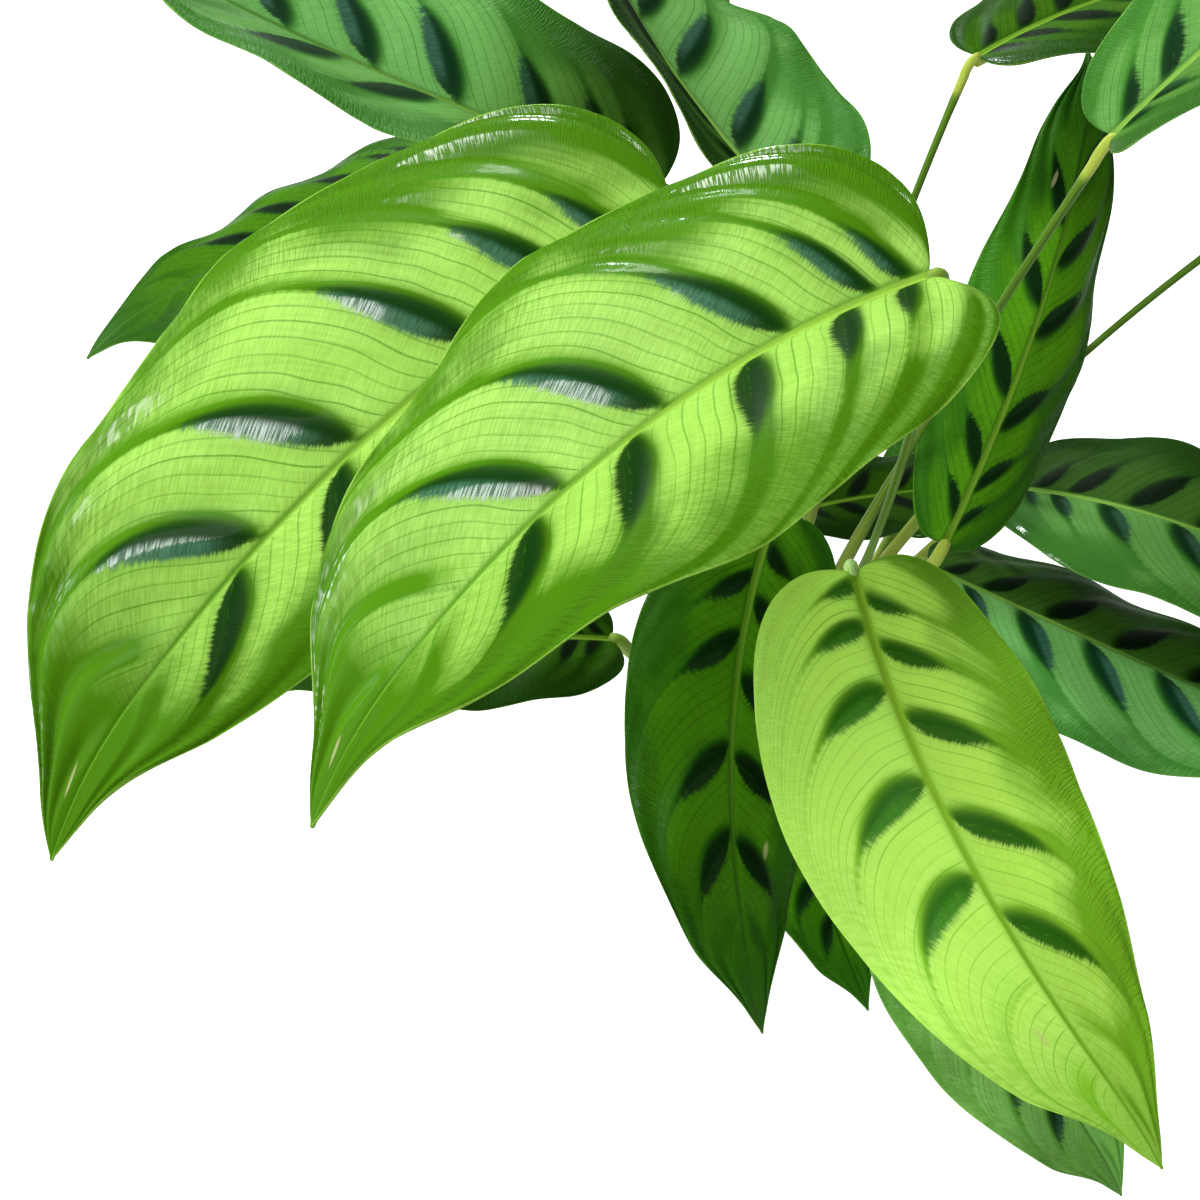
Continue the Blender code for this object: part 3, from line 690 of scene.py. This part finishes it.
def bladeSkin(name, look, under=False):
    skin = Skin(name)
    s, u, t = skin.attribute("place")
    inside, beyond, ribGap = skin.attribute("marking")
    run, across, edgeGap = skin.attribute("course")
    # the middle part of the relief is the painted light and shade of each half
    pleat, paintedLightAndShade, midway = skin.attribute("relief")
    a = u.math("ABSOLUTE")
    right = skin.step(u, -0.02, 0.02)
    blotch = skin.noise(skin.vector(s * 7.5, u * 2.4, t * 2.0), 1.0, 1.0)
    streak = skin.noise(skin.vector(t * 130.0, run * 0.02), 1.0, 0.0)
    # fine side veins: a dark thread every few millimetres, each a little stronger or fainter
    drift = skin.noise(skin.vector(t * 7.0, run * 0.035, u), 1.0, 0.0) * 0.55
    lane = t * veinLines["count"] + drift
    cell = lane.math("FRACT")
    number = lane.math("FLOOR") + u.math("SIGN") * 40.0
    strength = skin.add("TexWhiteNoise", {"noise_dimensions": "1D"}, {"W": number}) * 0.55 + 0.45
    off = (cell - 0.5).math("ABSOLUTE")
    thread = (1.0 - skin.step(off, veinLines["fine"], veinLines["soft"])) * strength
    thread = thread * skin.step(across, 0.6, 3.0)
    # cross hatch between them, in short threads about a millimetre apart
    hatch = skin.step(skin.noise(skin.vector(run * 1.25, across * 0.26), 1.0, 0.0), 0.36, 0.64)
    comb = skin.step(skin.noise(skin.vector(run * 1.5, across * 0.24, 5.0), 1.0, 0.0), 0.42, 0.62)
    # marks, with a soft edge towards the base and a fringed one towards the tip
    lee = skin.step(beyond, -2.0, 1.5)
    near = 1.0 - skin.step(midway, 0.45, 0.85)
    ragged = 0.0 if under else (hatch - 0.5) * (lee * 0.8 + 0.1) + (streak - 0.5) * 0.8
    mark = skin.step(inside + ragged, lee * 1.2 - 2.6, lee * -1.2 + 2.6)
    # painted shade at the foot of each pleat, on the side of the vein that looks to the base, and beside
    # each mark
    foot = (1.0 - skin.step(midway, 0.20, 0.85)) * (1.0 - skin.step(beyond, -1.6, 1.2))
    markShade = skin.step(inside, -7.0, 0.0) * (1.0 - lee * 0.8) * near * 0.9
    pleatShade = foot * pleat * 0.85
    ribLine = (1.0 - skin.step(ribGap, 0.2, 1.3)) * skin.step(across, 0.5, 3.0)
    ribLine = ribLine * (1.0 - skin.step(a, 0.93, 1.0, 0.0, 0.6))
    midline = 1.0 - skin.step(across / (1.12 - s), 1.0, 1.8)
    rim = 1.0 - skin.step(edgeGap, 0.15, 0.55)
    bandStart = look["band"] + skin.step(s, 0.12, 0.6, -0.06, 0.28) * right + (1.0 - right) * 0.06
    ragged = 0.0 if under else (streak - 0.5) * 0.1
    band = skin.step(a + (blotch - 0.5) * 0.75 + ragged, bandStart - 0.16, bandStart + 0.24)
    band = band * (right * (look["bandRight"] - look["bandLeft"]) + look["bandLeft"])
    band = band.math("MAXIMUM", skin.step(s + (blotch - 0.5) * 0.1, 0.70, 0.93) * look["tipMost"])
    # the painted shade of the pleats and beside the marks darkens the top along with the band
    shade = band if under else band + markShade + pleatShade
    shade = (shade + skin.step(s, 0.45, 0.85) * 0.42).math("MINIMUM", 1.0) * look["bandMost"]
    if under:
        colour = skin.mix(band * 0.4, look["under"], look["light"])
        colour = skin.mix(mark * 0.45, colour, tuple(c * 0.35 for c in look["under"]))
        colour = skin.mix(thread * 0.35, colour, tuple(c * 1.3 for c in look["light"]))
    else:
        colour = skin.mix(shade, look["light"], look["deep"])
        colour = skin.mix((streak - 0.5).math("ABSOLUTE") * 0.6, colour, look["deep"])
        colour = skin.mix(thread * 0.78, colour, look["vein"])
        colour = skin.mix(hatch * (shade * 0.2 + 0.22), colour, look["deep"])
        colour = skin.mix(ribLine * 0.7, colour, look["vein"])
        # painted shade, darker still beside each mark on the side towards the base
        colour = skin.mix(skin.step(inside, -4.5, 0.5) * (1.0 - lee) * near * 0.85, colour, look["mark"])
        sheen = lee * right * skin.step(a, 0.08, 0.2) * (hatch * 0.5 + 0.5)
        colour = skin.mix(mark * 0.98, colour, skin.mix(sheen, look["mark"], look["markSheen"]))
        core = (1.0 - skin.step(ribGap, 0.12, 0.5)) * mark * 0.35
        colour = skin.mix(core, colour, look["vein"])
        # painted light and shade: one half of a leaf is drawn paler or darker than the other
        colour = skin.mix(1.0, colour, skin.vector(paintedLightAndShade, paintedLightAndShade, paintedLightAndShade * (paintedLightAndShade * 0.5 + 0.5)), "MULTIPLY")
        # a small pale scar near the tip
        here = skin.vector(s * 2.0, u)
        gap = skin.add("VectorMath", {"operation": "DISTANCE"}, {0: here, 1: look["scar"]}, out="Value")
        colour = skin.mix((1.0 - skin.step(gap, 0.020, 0.045)) * 0.7, colour, (0.42, 0.40, 0.20))
    # the midrib: broad and pale at its foot, a thin darker line from the middle on
    beside = 1.0 - skin.step(across / (1.12 - s), 1.6, 3.2)
    colour = skin.mix(beside * (0.12 if under else 0.45), colour, look["vein"])
    ribColour = skin.mix(skin.step(s, 0.15, 0.75) * 0.8, look["midrib"], look["vein"])
    colour = skin.mix(midline * 0.95, colour, ribColour)
    colour = skin.mix(rim * 0.25, colour, tuple(min(1, c * 1.5 + 0.04) for c in look["midrib"]))
    rough = look["gloss"] + (blotch - 0.5) * 0.10 + (0.2 if under else hatch * 0.06)
    inputs = {"Base Color": colour, "Roughness": rough, "IOR": 1.45, "Specular IOR Level": look["shine"]}
    if not under:
        # fine relief, and a coat of wax that glares on the far sides of the marks and along the margin
        edgeZone = skin.step(a, 0.60, 0.92)
        markWax = mark * lee * (hatch * 0.48 + 0.08)
        edgeWax = edgeZone * skin.step(blotch, 0.42, 0.58) * (comb * 0.72 + 0.03)
        inputs["Normal"] = skin.bump(comb * (edgeZone * 0.16 + 0.02))
        inputs["Coat Weight"] = right * (markWax + edgeWax + 0.02) * look["wax"]
        inputs["Coat Roughness"] = 0.10
        inputs["Coat IOR"] = 1.8
    surface = skin.add("BsdfPrincipled", inputs=inputs)
    if not look["glow"]:
        return skin.finish(surface)
    through = skin.add("BsdfTranslucent", inputs={"Color": look["through"]})
    share = (1.0 - mark * 0.9) * (1.0 - shade * 0.75) * (1.0 - thread * 0.5) * (1.0 - midline * 0.5)
    share = share * look["glow"]
    return skin.finish(skin.add("MixShader", inputs={0: share, 1: surface, 2: through}))


stalkLooks = {
    "stalk": (0.12, 0.23, 0.010), "stripe": (0.04, 0.11, 0.004), "sheath": (0.29, 0.35, 0.055),
    "yellowJoint": (0.34, 0.42, 0.055), "paleJoint": (0.56, 0.82, 0.28), "greenJoint": (0.16, 0.27, 0.03),
}


def stalkSkin(name, jointColour):
    skin = Skin(name)
    x, y, z = skin.attribute("place")
    up, toJoint = skin.attribute("course")[:2]
    fibre = skin.noise(skin.vector(x * 2.4, y * 2.4, z * 0.12), 2.2, 3.0)
    fleck = skin.noise(skin.vector(x, y, z), 2.0, 3.0)
    colour = skin.mix(skin.step(fibre, 0.42, 0.62), stalkLooks["stripe"], stalkLooks["stalk"])
    sheath = (1.0 - skin.step(up + fleck * 40.0, 170.0, 290.0)) * 0.85
    colour = skin.mix(sheath * skin.step(fibre, 0.3, 0.6, 0.6, 1.0), colour, stalkLooks["sheath"])
    joint = 1.0 - skin.step(toJoint + (fleck - 0.5) * 5.0, 15.0, 20.0)
    joint = joint * skin.step(toJoint, -18.0, -2.0, 0.35, 1.0)
    colour = skin.mix(joint * skin.step(fleck, 0.3, 0.6, 0.7, 1.0), colour, jointColour)
    return skin.finish(skin.add("BsdfPrincipled", inputs={
        "Base Color": colour, "Roughness": 0.38 + fibre * 0.2, "IOR": 1.45, "Specular IOR Level": 0.18,
        "Normal": skin.bump(fibre * 0.12 + fleck * 0.05)}))


tops = {key: bladeSkin(key + "Blade", look) for key, look in bladeLooks.items()}
unders = {key: bladeSkin(key + "Underside", look, under=True) for key, look in bladeLooks.items()}
stalks = {key: stalkSkin(key + "Stalk", stalkLooks[key + "Joint"]) for key in ("green", "yellow", "pale")}
jointKinds = {5: "yellow", 6: "pale", 7: "yellow", 8: "yellow", 10: "yellow"}
for leaf in leaves:
    stations, half, group, pleats = leafLooks.get(leaf.number, leafLooks["other"])
    mesh = LeafMesh()
    addBlade(mesh, leaf, stations, half, pleats)
    addStalk(mesh, leaf)
    skins = [tops[group], unders[group], stalks[jointKinds.get(leaf.number, "green")]]
    piece = mesh.build(f"calatheaLeaf{leaf.number:02d}", skins)
    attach(piece, "root")
    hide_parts(f"leaf_{leaf.number:02d}")
print("leaves grown")


potForm = {"height": 0.118, "topRadius": 0.063, "footRadius": 0.047, "wall": 0.0045, "floor": 0.006,
           "rimHeight": 0.014, "rimProud": 0.0022, "sides": 112,
           "holes": 3, "holeRadius": 0.0045, "holeRing": 0.024}


def roundedProfile(corners, steps=5):
    # (radius, height, rounding) corners to a smooth outline
    points = []
    for k, (r, z, soft) in enumerate(corners):
        here = Vector((r, z))
        if soft == 0 or k in (0, len(corners) - 1):
            points.append(here)
            continue
        before = Vector(corners[k - 1][:2]) - here
        after = Vector(corners[k + 1][:2]) - here
        a = here + before.normalized() * min(soft, before.length * 0.49)
        b = here + after.normalized() * min(soft, after.length * 0.49)
        for j in range(steps + 1):
            q = j / steps
            points.append(a * (1 - q) ** 2 + here * 2 * q * (1 - q) + b * q * q)
    return points


def ringPoint(r, k, sides, z):
    angle = 2 * math.pi * k / sides
    return r * math.cos(angle), r * math.sin(angle), z


def turnedMesh(name, outline, sides):
    bm = bmesh.new()
    rings = []
    for r, z in outline:
        if r < 1e-6:
            rings.append([bm.verts.new((0, 0, z))])
        else:
            rings.append([bm.verts.new(ringPoint(r, k, sides, z)) for k in range(sides)])
    for low, high in zip(rings, rings[1:]):
        for k in range(sides):
            n = (k + 1) % sides
            loop = [low[k % len(low)], low[n % len(low)], high[n % len(high)], high[k % len(high)]]
            bm.faces.new(list(dict.fromkeys(loop)))
    bmesh.ops.recalc_face_normals(bm, faces=bm.faces)
    mesh = bpy.data.meshes.new(name)
    bm.to_mesh(mesh)
    bm.free()
    mesh.shade_smooth()
    mesh.set_sharp_from_angle(angle=math.radians(50))
    piece = bpy.data.objects.new(name, mesh)
    scene.collection.objects.link(piece)
    return piece


def potPiece():
    f = potForm
    slope = (f["topRadius"] - f["footRadius"]) / f["height"]
    rimLow = f["height"] - f["rimHeight"]
    inner = lambda z: f["footRadius"] + slope * z - f["wall"]
    corners = [
        (0.0, 0.0, 0), (f["footRadius"] - 0.008, 0.0, 0), (f["footRadius"] - 0.0004, 0.0, 0.0016),
        (f["footRadius"] + slope * 0.005 - 0.0003, 0.0052, 0.0006),
        (f["footRadius"] + slope * 0.0065, 0.0066, 0.0008),
        (f["footRadius"] + slope * rimLow, rimLow, 0.0008),
        (f["footRadius"] + slope * rimLow + f["rimProud"], rimLow + f["rimProud"], 0.0013),
        (f["topRadius"] + f["rimProud"], f["height"], 0.0021),
        (f["topRadius"] - f["wall"], f["height"], 0.0021),
        (inner(0.060), 0.060, 0), (inner(f["floor"]), f["floor"], 0.005), (0.0, f["floor"], 0),
    ]
    pot = turnedMesh("plainPot", roundedProfile(corners), f["sides"])
    for k in range(f["holes"]):
        angle = 2 * math.pi * k / f["holes"]
        outline = [(0, -0.004), (f["holeRadius"], -0.004), (f["holeRadius"], 0.012), (0, 0.012)]
        cutter = turnedMesh("drainCutter", outline, 32)
        cutter.location = (f["holeRing"] * math.cos(angle), f["holeRing"] * math.sin(angle), 0)
        cut = pot.modifiers.new("drain", "BOOLEAN")
        cut.operation, cut.solver, cut.object = "DIFFERENCE", "EXACT", cutter
    bpy.context.view_layer.update()
    shaped = bpy.data.meshes.new_from_object(pot.evaluated_get(bpy.context.evaluated_depsgraph_get()))
    pot.modifiers.clear()
    pot.data = shaped
    for extra in [o for o in scene.objects if o.name.startswith("drainCutter")]:
        bpy.data.objects.remove(extra)
    return pot


glazeLooks = {
    "oat": (0.64, 0.60, 0.52), "oatShade": (0.55, 0.50, 0.42), "speck": (0.22, 0.14, 0.08),
    "thinEdge": (0.50, 0.36, 0.22), "clay": (0.42, 0.30, 0.20), "clayShade": (0.30, 0.21, 0.14),
    "rimFrom": 0.1168, "footEnd": 0.0052, "innerSlope": 0.1356, "innerFoot": 0.0430,
}


def glazeSkin():
    look = glazeLooks
    skin = Skin("oatGlaze")
    x, y, z = skin.parts(skin.add("TexCoord", out="Object"))
    place = skin.vector(x, y, z)
    cloud = skin.noise(place, 18.0, 3.0)
    pebble = skin.noise(place, 160.0, 2.0)
    speck = skin.add("TexVoronoi", inputs={"Vector": place, "Scale": 420.0, "Randomness": 1.0})
    speckSize = skin.noise(place, 260.0, 1.0)
    dots = (1.0 - skin.step(speck, 0.10, 0.22)) * skin.step(speckSize, 0.55, 0.68)
    colour = skin.mix(cloud, look["oat"], look["oatShade"])
    colour = skin.mix(dots * 0.75, colour, look["speck"])
    # the glaze thins on the rim's edges and stops short of the foot
    edge = skin.step(z + pebble * 0.0016, look["rimFrom"], look["rimFrom"] + 0.0018) * 0.45
    colour = skin.mix(edge, colour, look["thinEdge"])
    bare = 1.0 - skin.step(z + (cloud - 0.5) * 0.003, look["footEnd"], look["footEnd"] + 0.0012)
    fromWall = (x * x + y * y).math("SQRT") - z * look["innerSlope"]
    inside = skin.step(fromWall, look["innerFoot"], look["innerFoot"] + 0.0006)
    bare = bare.math("MAXIMUM", (1.0 - inside) * skin.step(z, 0.104, 0.108, 1.0, 0.0))
    clay = skin.mix(pebble, look["clay"], look["clayShade"])
    colour = skin.mix(bare, colour, clay)
    rough = bare * 0.5 + cloud * 0.12 + 0.28
    height = cloud * 0.25 + pebble * (bare * 0.22 + 0.03) + bare * 0.12
    return skin.finish(skin.add("BsdfPrincipled", inputs={
        "Base Color": colour, "Roughness": rough, "IOR": 1.5, "Normal": skin.bump(height)}))


pot = potPiece()
pot.data.materials.clear()
pot.data.materials.append(glazeSkin())
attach(pot, "root")
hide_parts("pot")
print("pot turned")


soilForm = {"top": 0.106, "crown": 0.003, "radius": 0.0565, "rings": 44, "sides": 132, "lump": 0.0016,
            "crumbs": 900, "chips": 120, "grit": 90, "bottom": 0.0066,
            "plug": ((0.0535, 0.085), (0.048, 0.045), (0.0428, 0.0095), (0.038, 0.0066))}


def soilHeight(r):
    return soilForm["top"] - soilForm["crown"] * (r / soilForm["radius"]) ** 2


def soilPiece():
    dice = random.Random(5)
    bm = bmesh.new()
    f = soilForm
    rings = [[bm.verts.new((0, 0, soilHeight(0)))]]
    for k in range(1, f["rings"] + 1):
        r = f["radius"] * k / f["rings"]
        row = []
        for j in range(f["sides"]):
            angle = 2 * math.pi * j / f["sides"]
            p = Vector((r * math.cos(angle), r * math.sin(angle), 0))
            lump = noise.fractal(p * 160, 0.8, 2.2, 4) * f["lump"] * min(1, (f["radius"] - r) / 0.003)
            p.z = soilHeight(r) + lump
            row.append(bm.verts.new(p))
        rings.append(row)
    for r, z in f["plug"]:
        rings.append([bm.verts.new(ringPoint(r, j, f["sides"], z)) for j in range(f["sides"])])
    rings.append([bm.verts.new((0, 0, f["bottom"]))])
    for low, high in zip(rings, rings[1:]):
        for k in range(f["sides"]):
            n = (k + 1) % f["sides"]
            loop = [low[k % len(low)], low[n % len(low)], high[n % len(high)], high[k % len(high)]]
            face = bm.faces.new(list(dict.fromkeys(loop)))
            face.smooth = True
    roots = [Vector((leaf.reach * math.cos(math.radians(leaf.turn)),
                     leaf.reach * math.sin(math.radians(leaf.turn)))) for leaf in leaves]
    shapes = []
    for level in (1, 2):
        ball = bmesh.new()
        bmesh.ops.create_icosphere(ball, subdivisions=level, radius=0.5)
        shapes.append(([v.co.copy() for v in ball.verts],
                       [[v.index for v in face.verts] for face in ball.faces]))
        ball.free()

    def scatter(count, low, high, flatness, slot):
        done = 0
        while done < count:
            angle, r = dice.uniform(0, 2 * math.pi), f["radius"] * math.sqrt(dice.random()) * 0.955
            size = dice.uniform(low, high)
            spot = Vector((r * math.cos(angle), r * math.sin(angle)))
            toStalk = min((spot - root).length for root in roots)
            if toStalk < 0.0028 + size * 0.6 or r + size > f["radius"]:
                continue
            done += 1
            turn = Vector((dice.random() - 0.5, dice.random() - 0.5, dice.random() - 0.5)).normalized()
            spin = turn.rotation_difference(Vector((0, 0, 1))).to_matrix()
            if slot == 1:    # chips lie nearly flat
                spin = Matrix.Rotation(angle * 9, 3, "Z")
                spin = spin @ Matrix.Rotation(dice.uniform(-0.35, 0.35), 3, "Y")
            seed = Vector((dice.random() * 50, dice.random() * 50, 0))
            stretch = Vector((1.0, dice.uniform(0.5, 0.9), dice.uniform(*flatness))) * size
            place = Vector((spot.x, spot.y, soilHeight(r) + size * 0.16))
            corners, sides = shapes[0 if size < 0.002 else 1]
            made = [bm.verts.new(spin @ (co * (1 + 0.5 * noise.noise(co * 2.6 + seed)) * stretch) + place)
                    for co in corners]
            for side in sides:
                bm.faces.new([made[k] for k in side]).material_index = slot

    scatter(f["crumbs"], 0.0010, 0.0030, (0.6, 0.9), 0)
    scatter(f["chips"], 0.0035, 0.0075, (0.22, 0.4), 1)
    scatter(f["grit"], 0.0012, 0.0026, (0.7, 1.0), 2)
    bmesh.ops.recalc_face_normals(bm, faces=bm.faces)
    mesh = bpy.data.meshes.new("pottingMix")
    bm.to_mesh(mesh)
    bm.free()
    piece = bpy.data.objects.new("pottingMix", mesh)
    scene.collection.objects.link(piece)
    return piece


earthLooks = {
    "moistPeat": {"dark": (0.016, 0.010, 0.007), "pale": (0.060, 0.038, 0.024),
                  "rough": 0.75, "scale": 260.0},
    "barkChips": {"dark": (0.075, 0.040, 0.020), "pale": (0.19, 0.11, 0.06),
                  "rough": 0.68, "scale": 180.0},
    "paleGrit": {"dark": (0.55, 0.52, 0.46), "pale": (0.78, 0.76, 0.70),
                 "rough": 0.8, "scale": 500.0},
}


def earthSkin(name, dark, pale, rough, scale):
    skin = Skin(name)
    place = skin.add("TexCoord", out="Object")
    coarse = skin.noise(place, scale, 4.0)
    fine = skin.noise(place, scale * 6, 3.0)
    colour = skin.mix(skin.step(coarse * 0.6 + fine * 0.4, 0.35, 0.65), dark, pale)
    return skin.finish(skin.add("BsdfPrincipled", inputs={
        "Base Color": colour, "Roughness": fine * 0.15 + rough,
        "Normal": skin.bump(coarse * 0.35 + fine * 0.25)}))


mix = soilPiece()
for name, look in earthLooks.items():
    mix.data.materials.append(earthSkin(name, **look))
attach(mix, "root")
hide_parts("soil")
print("potting mix laid")
